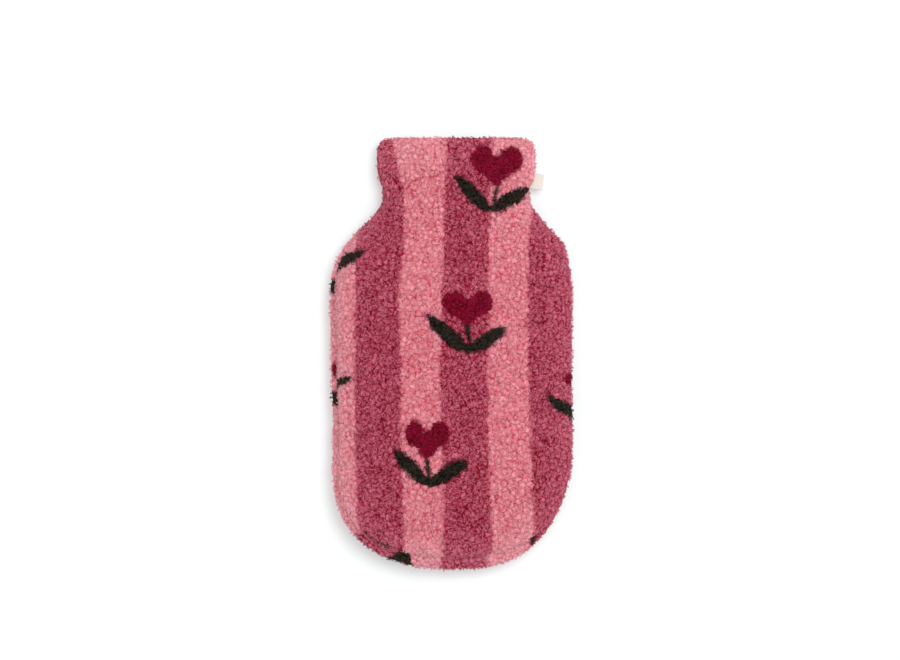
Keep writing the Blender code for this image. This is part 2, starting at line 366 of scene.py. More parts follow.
def clumps(points, middles, seed):
    """For each point its clump, and the pile's height there from 0 in a cleft to about 1."""
    tree = KDTree(len(middles))
    for k, middle in enumerate(middles):
        tree.insert(middle, k)
    tree.balance()
    noise.seed_set(seed)
    random = np.random.default_rng(seed)
    reach = random.uniform(0.0, CLUMP_SIZES, len(middles)).tolist()
    nearest = np.zeros(len(points), int)
    first, second, curl = (np.zeros(len(points)) for _ in range(3))
    offset = Vector((seed, 2.7 * seed, 0.0))
    for k, point in enumerate(points):
        place = Vector(point)
        wander = noise.noise_vector(place / WANDER_OVER + offset) * CLUMP_WANDER
        found = tree.find_n(place + wander, 4)
        found = sorted((far - reach[clump], clump) for _, clump, far in found)
        (first[k], nearest[k]), (second[k], _) = found[:2]
        curl[k] = noise.noise(place / CURLS_OVER - offset)
        curl[k] += SWELL_SHARE / CURL_SHARE * noise.noise(place / SWELLS_OVER - offset)
    shoulder = np.clip((second - first) / 2 / CLUMP_CLEFT, 0.0, 1.0)
    shoulder = np.sqrt(1.0 - (1.0 - shoulder) ** 2)
    dome = np.clip(1.0 - (np.maximum(first, 0.0) / CLUMP_DOME) ** 2, 0.0, 1.0)
    taller = random.uniform(-CLUMP_HEIGHTS, CLUMP_HEIGHTS, len(middles))[nearest]
    height = SHOULDER_SHARE * shoulder + DOME_SHARE * dome + taller * shoulder + CURL_SHARE * curl
    return nearest, np.clip(height + PILE_LIFT, 0.0, MOST_PILE)


# The stripes' borders, in mm from the middle, a row for each: its places at eight heights, as the
# cloth isn't cut or laid quite straight. Right of the first is a light stripe, then a dark one.
STRIPE_HEIGHTS = (-160.0, -115.0, -65.0, 0.0, 46.0, 95.0, 135.0, 184.0)
FRONT_BORDERS = (
    (-116.0,) * 8,
    (-80.3, -80.3, -81.8, -81.9, -81.4, -81.2, -81.2, -81.2),
    (-39.1, -40.6, -42.1, -42.1, -44.6, -39.5, -40.0, -50.5),
    (-6.3, -6.3, -8.6, -9.0, -8.0, -6.3, -5.5, -3.6),
    (34.5, 32.8, 31.1, 31.2, 31.9, 31.9, 32.9, 35.3),
    (69.4, 68.6, 66.8, 65.3, 65.1, 65.1, 67.0, 84.0),
    (106.0,) * 8,
)
BACK_BORDERS = (
    *((x,) * 8 for x in (-115.0, -81.0, -42.0, -8.0, 31.0)),
    FRONT_BORDERS[5],  # the neck's right edge is in a light stripe on both panels
    (104.0,) * 8,
)
BORDERS = {"front": FRONT_BORDERS, "back": BACK_BORDERS}

# A tulip: a heart-shaped bloom, in mm from its middle, and a short stem down to the foot of two
# leaves, in mm from that foot
LOBE_AT, LOBE_RADIUS = (12.0, 3.0), 9.9
BLOOM_POINTS = ((0.0, -18.0), (20.5, 0.0), (0.0, 6.0))  # its point, its side and its notch
STEM_WIDTH = 4.2
LEAVES = (  # the tip, how far the leaf bulges to its upper and lower side, and how blunt it is
    ((-36.9, 32.0), 5.0, 7.5, 1.0),
    ((30.8, 20.6), 6.2, 5.6, 0.8),
)
LEAF_HEEL = 0.06  # how far a leaf's bulge goes on past the foot, as a share of its length
LEAF_END = 1.02  # and how far along it ends
FAR_OUTSIDE = -99.0

# Dark curls of the back's print that are drawn out of the seam, in mm from the middle
STRAYS = ((-74.0, -155.5), (-64.5, -161.5), (-50.0, -167.5), (-43.0, -170.0))
STRAY_WIDTH = 3.2

# Where the tulips are, in mm on the flat cloth: the bloom's middle, how much wider and taller the
# drape and the knitting make it, the leaves' foot, how much wider the left and the right leaf are,
# and how much taller. Most of the back's have their foot in the same place below the bloom.
FOOT_ASIDE, FOOT_BELOW = 2.5, 38.6
BACK_BLOOMS = (
    (36.0, 142.0),
    (112.0, 90.0),
    (-40.0, 88.0),
    (-130.0, 81.0),
    (40.0, 34.0),
    (-48.0, -24.0),
    (112.0, -20.0),
    (34.0, -72.0),
)
TULIPS = {
    "front": (
        (38.8, 161.8, 0.96, 1.19, 34.6, 121.0, 0.84, 0.95, 0.98),
        (14.2, 40.4, 0.98, 0.97, 15.9, 2.0, 1.00, 1.00, 1.00),
        (-20.0, -70.5, 0.88, 1.12, -17.8, -110.3, 0.86, 1.06, 0.99),
        (-116.0, 110.0, 1.00, 1.00, -112.0, 70.3, 1.20, 1.24, 0.84),
        (-124.0, -15.0, 1.00, 0.60, -117.0, -30.5, 0.95, 1.06, 0.56),
        (114.8, -23.0, 1.00, 0.60, 117.4, -59.0, 1.00, 1.00, 0.74),
    ),
    "back": (
        *(
            (u, v, 1.0, 1.0, u + FOOT_ASIDE, v - FOOT_BELOW, 1.0, 1.0, 1.0)
            for u, v in BACK_BLOOMS
        ),
        (-126.5, -16.5, 1.16, 1.00, -124.0, -52.1, 1.00, 1.00, 1.00),
        (-44.0, -142.0, 1.00, 1.00, -40.0, -177.2, 0.54, 0.48, 1.00),
        (122.0, -146.0, 1.00, 1.00, 106.5, -187.6, 1.00, 1.00, 1.00),
    ),
}


def openness(aside, y):
    """Painted rim light: how much lighter the pile is painted, from 0 on the flat to 1 at the seam,
    where the cloth bends most, and lighter near the mouth.
    """
    share = np.sqrt(np.maximum(1.0 - closeness(aside, y, 0.0) ** CROWN_FLATNESS, 0.0))
    at_mouth = MOUTH_LIGHTER * ease((y - COVER_LENGTH) / MOUTH_LIGHTER_REACH + 1.0)
    return np.maximum(np.clip(1.0 - share / RIM_LIGHT_BELOW, 0.0, 1.0), at_mouth)


def stripe_depth(side, u, v):
    """How deep inside a dark stripe, in mm, and less than 0 in a light one."""
    borders = np.stack([np.interp(v, STRIPE_HEIGHTS, row) for row in BORDERS[side]], axis=-1)
    past = (u[..., None] - borders) * np.resize((-1.0, 1.0), len(BORDERS[side]))
    nearest = np.abs(past).argmin(axis=-1)
    return np.take_along_axis(past, nearest[..., None], axis=-1)[..., 0]


def tulip_depths(side, u, v):
    """How deep inside a bloom, and inside a leaf or stem, in mm, less than 0 outside."""
    bloom, green = np.full_like(u, FAR_OUTSIDE), np.full_like(u, FAR_OUTSIDE)
    for at_u, at_v, wider, taller, foot_u, foot_v, *leaves_wider, leaf_taller in TULIPS[side]:
        x, y = np.abs(u - at_u) / wider, (v - at_v) / taller
        lobes = LOBE_RADIUS - np.hypot(x - LOBE_AT[0], y - LOBE_AT[1])
        sides = []
        for (ax, ay), (bx, by) in zip(BLOOM_POINTS, BLOOM_POINTS[1:]):
            length = math.hypot(bx - ax, by - ay)
            sides.append(((bx - ax) * (y - ay) - (by - ay) * (x - ax)) / length)
        bloom = np.maximum(bloom, np.maximum(lobes, np.minimum(*sides)))
        stem = (at_u, at_v + BLOOM_POINTS[0][1] * taller), (foot_u, foot_v)
        green = np.maximum(green, STEM_WIDTH / 2 - distance(u, v, *stem))
        for leaf_wider, leaf in zip(leaves_wider, LEAVES):
            (tip_x, tip_y), upper, lower, bluntness = leaf
            x, y = (u - foot_u) / leaf_wider, (v - foot_v) / leaf_taller
            length = math.hypot(tip_x, tip_y)
            along = (x * tip_x + y * tip_y) / length**2
            aside = (x * tip_y - y * tip_x) / length * -np.sign(tip_x)
            bulge = np.clip(4.0 * (along + LEAF_HEEL) * (LEAF_END - along), 0.0, 1.0)
            bulge = bulge**bluntness
            past_end = np.maximum(np.abs(along - 0.5) - 0.5, 0.0) * length
            depth = np.where(aside > 0.0, upper * bulge - aside, lower * bulge + aside)
            green = np.maximum(green, depth - past_end)
    if side == "front":
        for ends in zip(STRAYS, STRAYS[1:]):
            green = np.maximum(green, STRAY_WIDTH / 2 - distance(u, v, *ends))
    return bloom, green


def fan_rim(outer, inner, step):
    """Faces between two rims, where the outer one has step times as many points."""
    faces = []
    for k in range(len(inner)):
        here, after = inner[k], inner[(k + 1) % len(inner)]
        edge = [outer[(k * step + j) % len(outer)] for j in range(step + 1)]
        half = step // 2
        faces += [(here, edge[j], edge[j + 1]) for j in range(half)]
        faces.append((here, edge[half], after))
        faces += [(after, edge[j], edge[j + 1]) for j in range(half, step)]
    return faces


def rim_of(rows):
    """The edge of a grid of point numbers, once round."""
    return [*rows[0], *rows[1:-1, -1], *rows[-1][::-1], *rows[-2:0:-1, 0]]


def grid_faces(rows):
    """The four-sided faces of a grid of point numbers."""
    return np.stack(
        (rows[:-1, :-1], rows[:-1, 1:], rows[1:, 1:], rows[1:, :-1]), axis=-1
    ).reshape(-1, 4)


def add_object(name, mesh, *materials):
    """An object in the scene, with its mesh and materials."""
    piece = bpy.data.objects.new(name, mesh)
    bpy.context.scene.collection.objects.link(piece)
    for material in materials:
        mesh.materials.append(material)
    return piece


def sew_panel(side, over_origin):
    """One panel as a closed piece of cloth, with what its print and pile need kept on it."""
    across, along = even_shares(side, *PANEL_CELLS[side])
    aside, y = plan(0.0, across, along)
    smooth = cloth_points(side, aside, y, 0.0)
    outward = np.cross(np.gradient(smooth, axis=1), np.gradient(smooth, axis=0))
    outward /= np.maximum(np.linalg.norm(outward, axis=-1, keepdims=True), 1e-12)
    outward *= 1.0 if side == "front" else -1.0
    cloth = cloth_places(aside, y, 0.0).reshape(-1, 2)
    points = smooth.reshape(-1, 3)

    # The pile sinks into the clefts, but no panel's pile passes the seam's plane
    middles = scattered(points, CLUMP_SPACING, PILE_SEED[side])
    clump, height = clumps(points, points[middles], PILE_SEED[side])
    if side == "front":
        place = (points[:, :2] + over_origin) / MM
        height = height * (1.0 - FOLD_PARTING * fold_depth(place[:, 0], place[:, 1]))
    sunk = PILE_BED + (1.0 - height) * CLUMP_DEPTH
    piled = points - outward.reshape(-1, 3) * sunk[:, None]
    seam = seam_height(points[:, 0], points[:, 1])
    if side == "front":
        lowest = seam + half_gap(points[:, 0], points[:, 1])
        piled[:, 2] = np.maximum(piled[:, 2], np.minimum(lowest, points[:, 2]))
    else:
        highest = seam - half_gap(points[:, 0], points[:, 1])
        piled[:, 2] = np.minimum(piled[:, 2], np.maximum(highest, points[:, 2]))
    printed = cloth + (cloth[middles][clump] - cloth) * CLUMP_PULL

    inner_aside, inner_y = plan(FLEECE_THICKNESS, across[::INNER_STEP], along[::INNER_STEP])
    inner = cloth_points(side, inner_aside, inner_y, FLEECE_THICKNESS).reshape(-1, 3)
    inner_cloth = cloth_places(inner_aside, inner_y, FLEECE_THICKNESS).reshape(-1, 2)

    numbers = np.arange(len(points)).reshape(aside.shape)
    inner_numbers = np.arange(len(inner)).reshape(inner_aside.shape) + len(points)
    outer_faces = grid_faces(numbers)
    inner_faces = grid_faces(inner_numbers)
    rim_faces = fan_rim(rim_of(numbers), rim_of(inner_numbers), INNER_STEP)
    places = np.concatenate((piled, inner)) + (*over_origin, 0.0)
    mesh = bpy.data.meshes.new(side + "_fleece")
    mesh.from_pydata(places, [], [*outer_faces.tolist(), *rim_faces, *inner_faces.tolist()])

    # The knit side is a second material. The pile side is turned into the mouth as far as the hem.
    hemmed = inner_y > COVER_LENGTH - HEM_DEPTH
    knit = np.zeros(len(mesh.polygons), np.int32)
    knit[-len(inner_faces) :] = np.where(hemmed[:-1, :-1].reshape(-1), 0, 1)
    mesh.polygons.foreach_set("material_index", knit)

    printed = np.concatenate((printed, inner_cloth))
    u, v = (printed[:, 0] + over_origin[0]) / MM, (printed[:, 1] + over_origin[1]) / MM
    bloom, green = tulip_depths(side, u, v)
    # Painted rim light: the pile is painted lighter towards the seam and near the mouth
    opened = RIM_LIGHT_OF_PANEL[side] * openness(aside, y).reshape(-1)
    for name, values in (
        ("stripe", stripe_depth(side, u, v)),
        ("bloom", bloom),
        ("green", green),
        ("pile", np.concatenate((height, np.full(len(inner), INNER_PILE)))),
        ("across", u),
        ("along", v),
        ("curled", np.concatenate((np.ones(len(points)), hemmed.reshape(-1)))),
        ("open", np.concatenate((opened, np.zeros(len(inner))))),
    ):
        attribute = mesh.attributes.new(name, "FLOAT", "POINT")
        attribute.data.foreach_set("value", values.astype(np.float32))

    bm = bmesh.new()
    bm.from_mesh(mesh)
    bmesh.ops.recalc_face_normals(bm, faces=bm.faces)
    bm.to_mesh(mesh)
    bm.free()
    mesh.shade_smooth()
    return mesh


def linear(hex_colour):
    """An sRGB hex colour as linear red, green, blue and alpha."""
    parts = [int(hex_colour[k : k + 2], 16) / 255 for k in (1, 3, 5)]
    return (*(c / 12.92 if c <= 0.04045 else ((c + 0.055) / 1.055) ** 2.4 for c in parts), 1.0)


def set_inputs(tree, node, inputs):
    """A node's inputs set to values, or linked to an output or to a node's first one in use."""
    for name, value in inputs.items():
        if isinstance(value, bpy.types.Node):
            value = next(output for output in value.outputs if output.enabled)
        if isinstance(value, bpy.types.NodeSocket):
            tree.links.new(value, node.inputs[name])
        else:
            node.inputs[name].default_value = value


def add_node(tree, kind, inputs=None, **settings):
    """A node with its settings and its inputs."""
    node = tree.nodes.new(kind)
    for name, value in settings.items():
        setattr(node, name, value)
    set_inputs(tree, node, inputs or {})
    return node


def add_material(name):
    """A new material, its node tree and its shader."""
    material = bpy.data.materials.new(name)
    material.use_nodes = True
    return material, material.node_tree, material.node_tree.nodes["Principled BSDF"]


def set_stops(node, stops):
    """A colour ramp with its stops: places and sRGB colours."""
    ramp = node.color_ramp
    while len(ramp.elements) < len(stops):
        ramp.elements.new(0.5)
    for element, (place, colour) in zip(ramp.elements, stops):
        element.position = place
        element.color = linear(colour)
    return node


# Each colour of yarn, from the painted shade deep in the pile to its palest tips, which are partly
# their own paler colour and partly painted light
LIGHT_YARN = ((0.08, "#a2203c"), (0.32, "#d0596c"), (0.56, "#e47d8c"), (0.95, "#f5aab3"))
DARK_YARN = ((0.17, "#640012"), (0.42, "#880828"), (0.65, "#a92947"), (0.93, "#d8758b"))
BLOOM_YARN = ((0.15, "#52000a"), (0.50, "#74001e"), (0.90, "#960a37"))
LEAF_YARN = ((0.15, "#050702"), (0.50, "#10130a"), (0.90, "#2e2d24"))

# Teddy fleece: knitted polyester whose brushed pile has curled into clumps. The clefts get painted
# shade, deeper in colour than the tips, the dark stripes are heathered with pale tips, and the matt
# fibres have a soft bloom where they are seen edge on.
FIBRE_SIZE = 0.95 * MM  # single curls
FIBRE_RELIEF = 0.55 * MM
PATCH_SIZE, PATCHES = 9.0 * MM, 0.1  # over what length clumps differ in shade, and how much
PILE_MIDDLE, FIBRE_MIDDLE = 0.55, 0.5  # where the pile's height and the fibres change no shade
FRAY, CURL_FRAY = 5.0, 6.0  # mm over the print's borders for a full 1 of fibres and of paler

fleece_pile, tree, shader = add_material("teddy_fleece_curled_pile")
places = add_node(tree, "ShaderNodeTexCoord").outputs["Object"]
kept = {
    name: add_node(tree, "ShaderNodeAttribute", attribute_name=name).outputs["Fac"]
    for name in ("stripe", "bloom", "green", "pile", "open", "paler")
}
fibres = add_node(
    tree,
    "ShaderNodeTexNoise",
    {"Vector": places, "Scale": 1 / FIBRE_SIZE, "Detail": 2.0, "Distortion": 1.5},
)
patches = add_node(
    tree, "ShaderNodeTexNoise", {"Vector": places, "Scale": 1 / PATCH_SIZE, "Detail": 1.0}
)

# Each yarn's shade: its middle, and how much the clefts' painted shade, single curls and painted
# rim light change it
yarns = {}
for name, stops, middle, painted_cleft_shade, curls, opened in (
    ("light", LIGHT_YARN, 0.405, 0.86, 1.15, 0.46),
    ("stripe", DARK_YARN, 0.465, 0.78, 1.90, 0.25),
    ("bloom", BLOOM_YARN, 0.35, 0.80, 1.10, 0.15),
    ("green", LEAF_YARN, 0.38, 0.80, 1.10, 0.33),
):
    shade = middle - PILE_MIDDLE * painted_cleft_shade - FIBRE_MIDDLE * curls
    for value, share in (
        (kept["pile"], painted_cleft_shade),
        (fibres, curls),
        (kept["open"], opened),
        (patches, PATCHES),
        (kept["paler"], 1.0),
    ):
        shade = add_node(
            tree, "ShaderNodeMath", {0: value, 1: share, 2: shade}, operation="MULTIPLY_ADD"
        )
    yarns[name] = set_stops(add_node(tree, "ShaderNodeValToRGB", {"Fac": shade}), stops)

# The print laid over the light ground. Its borders are frayed, and soft over so many mm.
frayed = -FIBRE_MIDDLE * FRAY
for value, share in ((fibres, FRAY), (kept["paler"], CURL_FRAY)):
    frayed = add_node(
        tree, "ShaderNodeMath", {0: value, 1: share, 2: frayed}, operation="MULTIPLY_ADD"
    )
colour = yarns["light"]
for name, softness in (("stripe", 1.3), ("bloom", 1.0), ("green", 1.2)):
    depth = add_node(tree, "ShaderNodeMath", {0: kept[name], 1: frayed}, operation="ADD")
    here = add_node(
        tree,
        "ShaderNodeMapRange",
        {"Value": depth, "From Min": -softness, "From Max": softness},
        interpolation_type="SMOOTHSTEP",
    )
    colour = add_node(
        tree, "ShaderNodeMix", {"Factor": here, 6: colour, 7: yarns[name]}, data_type="RGBA"
    )
relief = add_node(
    tree, "ShaderNodeBump", {"Height": fibres, "Strength": 1.0, "Distance": FIBRE_RELIEF}
)
set_inputs(
    tree,
    shader,
    {
        "Base Color": colour,
        "Normal": relief,
        "Roughness": 0.92,
        "Specular IOR Level": 0.08,
        "Sheen Weight": 0.2,
        "Sheen Roughness": 0.35,
        "Sheen Tint": linear("#f0a8b0"),
        "Subsurface Weight": 0.3,
        "Subsurface Radius": (1.0, 0.25, 0.3),
        "Subsurface Scale": 1.5 * MM,
    },
)

# The fleece's plain side: fine jersey knit in the ground colours, matt and a little duller, as
# the stripes show through. Its wales are drawn 1.5 mm apart so that they show.
WALE, COURSE = 1.5, 1.2  # mm
COURSE_LEAN = 0.9  # share of a course by which its loops lean at each wale
BLEED = 0.6  # mm over which the stripes run into each other
KNIT_RELIEF = 0.25 * MM

fleece_back, tree, shader = add_material("jersey_knit_back_of_fleece")
u, v, stripe = (
    add_node(tree, "ShaderNodeAttribute", attribute_name=name).outputs["Fac"]
    for name in ("across", "along", "stripe")
)
wale = add_node(tree, "ShaderNodeMath", {0: u, 1: 1 / WALE}, operation="MULTIPLY")
lean = add_node(tree, "ShaderNodeMath", {0: wale, 1: 1.0}, operation="PINGPONG")
lean = add_node(tree, "ShaderNodeMath", {0: lean, 1: COURSE_LEAN}, operation="MULTIPLY")
course = add_node(tree, "ShaderNodeMath", {0: v, 1: 1 / COURSE, 2: lean}, operation="MULTIPLY_ADD")
waves = []
for turns in (wale, course):
    angle = add_node(tree, "ShaderNodeMath", {0: turns, 1: math.tau}, operation="MULTIPLY")
    waves.append(add_node(tree, "ShaderNodeMath", {0: angle}, operation="SINE"))
loops = add_node(tree, "ShaderNodeMath", {0: waves[0], 1: waves[1]}, operation="MAXIMUM")
ground = add_node(
    tree, "ShaderNodeMapRange", {"Value": stripe, "From Min": -BLEED, "From Max": BLEED}
)
ground = add_node(
    tree,
    "ShaderNodeMix",
    {"Factor": ground, 6: linear("#d98490"), 7: linear("#b0556a")},
    data_type="RGBA",
)
# Painted shade: the gaps between the knit's loops are darker
painted_groove_shade = add_node(tree, "ShaderNodeMapRange", {"Value": loops, "From Min": -0.4, "From Max": 0.8})
colour = add_node(
    tree, "ShaderNodeMix", {"Factor": painted_groove_shade, 6: linear("#7a3443"), 7: ground}, data_type="RGBA"
)
relief = add_node(
    tree, "ShaderNodeBump", {"Height": loops, "Strength": 0.8, "Distance": KNIT_RELIEF}
)
set_inputs(
    tree,
    shader,
    {
        "Base Color": colour,
        "Normal": relief,
        "Roughness": 0.9,
        "Specular IOR Level": 0.2,
    },
)

# The CAD part was centred over the origin after it was drawn. This is the same move, worked out
# from the CAD back panel's own box.
low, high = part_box("back_panel")
across, along = even_shares("back", *PANEL_CELLS["back"])
drawn = cloth_points("back", *plan(0.0, across, along), 0.0).reshape(-1, 3)
over_origin = [(low[k] + high[k] - drawn[:, k].min() - drawn[:, k].max()) / 2 for k in (0, 1)]

front_fleece = add_object(
    "front_fleece", sew_panel("front", over_origin), fleece_pile, fleece_back
)
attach(front_fleece, "root")
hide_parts("front_panel")


# ---------------------------------------------------------------------------------------------
# Pile of the front panel. The loose curls that stand out of the clumps: soft polyester locks a
# few millimetres long that rise from the cloth, bend over and turn back into it.

CURL_THICKNESS = 0.48 * MM  # half of it, at the middle of a lock
CURL_SIDES = 3
CURL_POINTS = 5
CURL_END = 0.35  # share of its thickness that a lock keeps at its ends
CURL_HOOK = {  # one lock, its root at the origin and the cloth below
    "Start": (-1.3 * MM, 0.0, -0.7 * MM),
    "Start Handle": (-1.9 * MM, 0.9 * MM, 1.5 * MM),
    "End Handle": (1.5 * MM, 1.6 * MM, 1.5 * MM),
    "End": (1.4 * MM, -0.5 * MM, -0.4 * MM),
}
CURL_SIZES = (0.7, 1.25)  # the smallest and the largest, as shares of that
CURL_TILT = 0.45  # radians that a lock may lean either way
CURL_DRIFT = 2.2 * MM  # size and full swing of the noise that draws a lock out of shape
SIDE_SCALE = (0.6, 0.6, 1.5)  # how a lock's three sizes change at the steep sides
STEEP, LEVEL = 0.3, 0.9  # how far a face points up or down at the sides, and on the top
LEAST_HEIGHT = 0.38  # no lock grows in a cleft, where the pile is lower than this
PALER = 0.22  # how much paler or darker a whole lock may be
DARK_END = 0.25  # shade of a lock's ends, against 1 at its middle
CLEFT_SHADE = 0.15  # shade of a lock that hangs into a cleft
CLEFT_LOW, CLEFT_HIGH = 0.15, 0.65  # the pile's heights between which that shade clears
MOST_ROOTS = 4.0e5  # for each square metre, before the spacing thins them
LOWEST = 0.02 * MM  # above the floor, for the locks under the cover

curl_tree = tree = bpy.data.node_groups.new("curls_on_pile", "GeometryNodeTree")
for name, kind in (
    ("Geometry", "NodeSocketGeometry"),
    ("Spacing", "NodeSocketFloat"),
    ("Seed", "NodeSocketInt"),
):
    tree.interface.new_socket(name, in_out="INPUT", socket_type=kind)
tree.interface.new_socket("Geometry", in_out="OUTPUT", socket_type="NodeSocketGeometry")
given = add_node(tree, "NodeGroupInput").outputs

# Roots, scattered over the curled side wherever the pile stands high
curled, height = (
    add_node(tree, "GeometryNodeInputNamedAttribute", {"Name": name})
    for name in ("curled", "pile")
)
on_pile, on_clumps = (
    add_node(tree, "FunctionNodeCompare", {0: value, 1: least}, operation="GREATER_THAN")
    for value, least in ((curled, 0.99), (height, LEAST_HEIGHT))
)
only_clumps = add_node(tree, "FunctionNodeBooleanMath", {0: on_pile, 1: on_clumps}, operation="AND")
roots = add_node(
    tree,
    "GeometryNodeDistributePointsOnFaces",
    {
        "Mesh": given["Geometry"],
        "Selection": only_clumps,
        "Distance Min": given["Spacing"],
        "Density Max": MOST_ROOTS,
        "Seed": given["Seed"],
    },
    distribute_method="POISSON",
).outputs

# Each lock is turned and sized by chance. At the cover's sides nothing presses the locks down, so
# they stand taller there than on the top.
spin = add_node(
    tree,
    "FunctionNodeRandomValue",
    {
        "Min": (-CURL_TILT, -CURL_TILT, 0.0),
        "Max": (CURL_TILT, CURL_TILT, math.tau),
        "Seed": given["Seed"],
    },
    data_type="FLOAT_VECTOR",
)
turn = add_node(tree, "FunctionNodeEulerToRotation", {"Euler": spin})
turned = add_node(
    tree,
    "FunctionNodeRotateRotation",
    {"Rotation": roots["Rotation"], "Rotate By": turn},
    rotation_space="LOCAL",
)
size = add_node(
    tree, "FunctionNodeRandomValue", {2: CURL_SIZES[0], 3: CURL_SIZES[1], "Seed": given["Seed"]}
)
facing = add_node(tree, "ShaderNodeSeparateXYZ", {"Vector": roots["Normal"]}).outputs["Z"]
facing = add_node(tree, "ShaderNodeMath", {0: facing}, operation="ABSOLUTE")
lengths = {
    axis: add_node(
        tree,
        "ShaderNodeMapRange",
        {"Value": facing, "From Min": LEVEL, "From Max": STEEP, "To Min": 1.0, "To Max": most},
    )
    for axis, most in zip("XYZ", SIDE_SCALE)
}
lengths = add_node(tree, "ShaderNodeCombineXYZ", lengths)
size = add_node(tree, "ShaderNodeVectorMath", {0: lengths, "Scale": size}, operation="SCALE")
hook = add_node(tree, "GeometryNodeCurvePrimitiveBezierSegment", {"Resolution": 16, **CURL_HOOK})
hook = add_node(tree, "GeometryNodeResampleCurve", {"Curve": hook, "Count": CURL_POINTS})
paler = add_node(tree, "FunctionNodeRandomValue", {2: -PALER, 3: PALER, "Seed": given["Seed"]})
starts = add_node(
    tree,
    "GeometryNodeStoreNamedAttribute",
    {"Geometry": roots["Points"], "Name": "paler", "Value": paler},
)
locks = add_node(
    tree,
    "GeometryNodeInstanceOnPoints",
    {"Points": starts, "Instance": hook, "Rotation": turned, "Scale": size},
)
locks = add_node(tree, "GeometryNodeRealizeInstances", {"Geometry": locks})

# No two locks are alike: neighbours are drawn out of shape together
drift = add_node(
    tree, "ShaderNodeTexNoise", {"Scale": 1 / CURL_DRIFT, "Detail": 0.0}
).outputs["Color"]
drift = add_node(tree, "ShaderNodeVectorMath", {0: drift, 1: (0.5, 0.5, 0.5)}, operation="SUBTRACT")
drift = add_node(tree, "ShaderNodeVectorMath", {0: drift, "Scale": CURL_DRIFT}, operation="SCALE")
locks = add_node(tree, "GeometryNodeSetPosition", {"Geometry": locks, "Offset": drift})

# A lock is thickest in the middle, with painted light there and painted shade at its ends. One that
# hangs over a cleft takes the cleft's painted shade.
way = add_node(tree, "GeometryNodeSplineParameter")
arch = add_node(tree, "ShaderNodeMath", {0: way, 1: math.pi}, operation="MULTIPLY")
arch = add_node(tree, "ShaderNodeMath", {0: arch}, operation="SINE")
tapered, lit = (
    add_node(tree, "ShaderNodeMapRange", {"Value": arch, "To Min": least, "To Max": 1.0})
    for least in (CURL_END, DARK_END)
)
radius = add_node(tree, "ShaderNodeMath", {0: tapered, 1: CURL_THICKNESS}, operation="MULTIPLY")
beneath = add_node(
    tree, "GeometryNodeSampleNearestSurface", {"Mesh": given["Geometry"], "Value": height}
)
beneath = add_node(
    tree,
    "ShaderNodeMapRange",
    {
        "Value": beneath,
        "From Min": CLEFT_LOW,
        "From Max": CLEFT_HIGH,
        "To Min": CLEFT_SHADE,
        "To Max": 1.0,
    },
)
lit = add_node(tree, "ShaderNodeMath", {0: lit, 1: beneath}, operation="MULTIPLY")
locks = add_node(
    tree, "GeometryNodeStoreNamedAttribute", {"Geometry": locks, "Name": "pile", "Value": lit}
)
ring = add_node(tree, "GeometryNodeCurvePrimitiveCircle", {"Resolution": CURL_SIDES, "Radius": 1.0})
locks = add_node(
    tree,
    "GeometryNodeCurveToMesh",
    {"Curve": locks, "Profile Curve": ring, "Scale": radius, "Fill Caps": True},
)

# Locks under the cover are pressed against the floor
place = add_node(tree, "GeometryNodeInputPosition")
parts = add_node(tree, "ShaderNodeSeparateXYZ", {"Vector": place}).outputs
above = add_node(tree, "ShaderNodeMath", {0: parts["Z"], 1: LOWEST}, operation="MAXIMUM")
place = add_node(tree, "ShaderNodeCombineXYZ", {"X": parts["X"], "Y": parts["Y"], "Z": above})
locks = add_node(tree, "GeometryNodeSetPosition", {"Geometry": locks, "Position": place})
locks = add_node(tree, "GeometryNodeSetShadeSmooth", {"Geometry": locks})
locks = add_node(tree, "GeometryNodeRealizeInstances", {"Geometry": locks})
locks = add_node(tree, "GeometryNodeSetMaterial", {"Geometry": locks, "Material": fleece_pile})
add_node(tree, "NodeGroupOutput", {"Geometry": locks})


def grow_curls(name, fleece, spacing, seed):
    """The curls of a panel as a plain mesh of their own."""
    grower = bpy.data.objects.new(name + "_grower", fleece.data)
    bpy.context.scene.collection.objects.link(grower)
    modifier = grower.modifiers.new("curls", "NODES")
    modifier.node_group = curl_tree
    values = {"Spacing": spacing, "Seed": seed}
    for item in curl_tree.interface.items_tree:
        if item.in_out == "INPUT" and item.name in values:
            modifier[item.identifier] = values[item.name]
    ready = grower.evaluated_get(bpy.context.evaluated_depsgraph_get())
    mesh = bpy.data.meshes.new_from_object(ready)
    mesh.name = name
    bpy.data.objects.remove(grower)
    return add_object(name, mesh)


FRONT_CURL_SPACING = 2.3 * MM
FRONT_CURL_SEEDS = (31, 32)
front_curls = [
    grow_curls(f"front_curls_{k + 1}", front_fleece, FRONT_CURL_SPACING, seed)
    for k, seed in enumerate(FRONT_CURL_SEEDS)
]
for curls in front_curls:
    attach(curls, "root")


# ---------------------------------------------------------------------------------------------
# Back panel. The same shape cut again, on which the cover lies: flat where it rests on the
# floor, and swelling past the seam along the bottom. The same fleece and the same curls.

BACK_CURL_SPACING = 2.4 * MM
BACK_CURL_SEED = 47
back_fleece = add_object("back_fleece", sew_panel("back", over_origin), fleece_pile, fleece_back)
back_curls = grow_curls("back_curls", back_fleece, BACK_CURL_SPACING, BACK_CURL_SEED)
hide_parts("back_panel")
for piece in (back_fleece, back_curls):
    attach(piece, "root")


# ---------------------------------------------------------------------------------------------
# Side label. A short cream woven tape, folded double, with its two ends caught in the seam at
# the right of the neck. It is left bare.

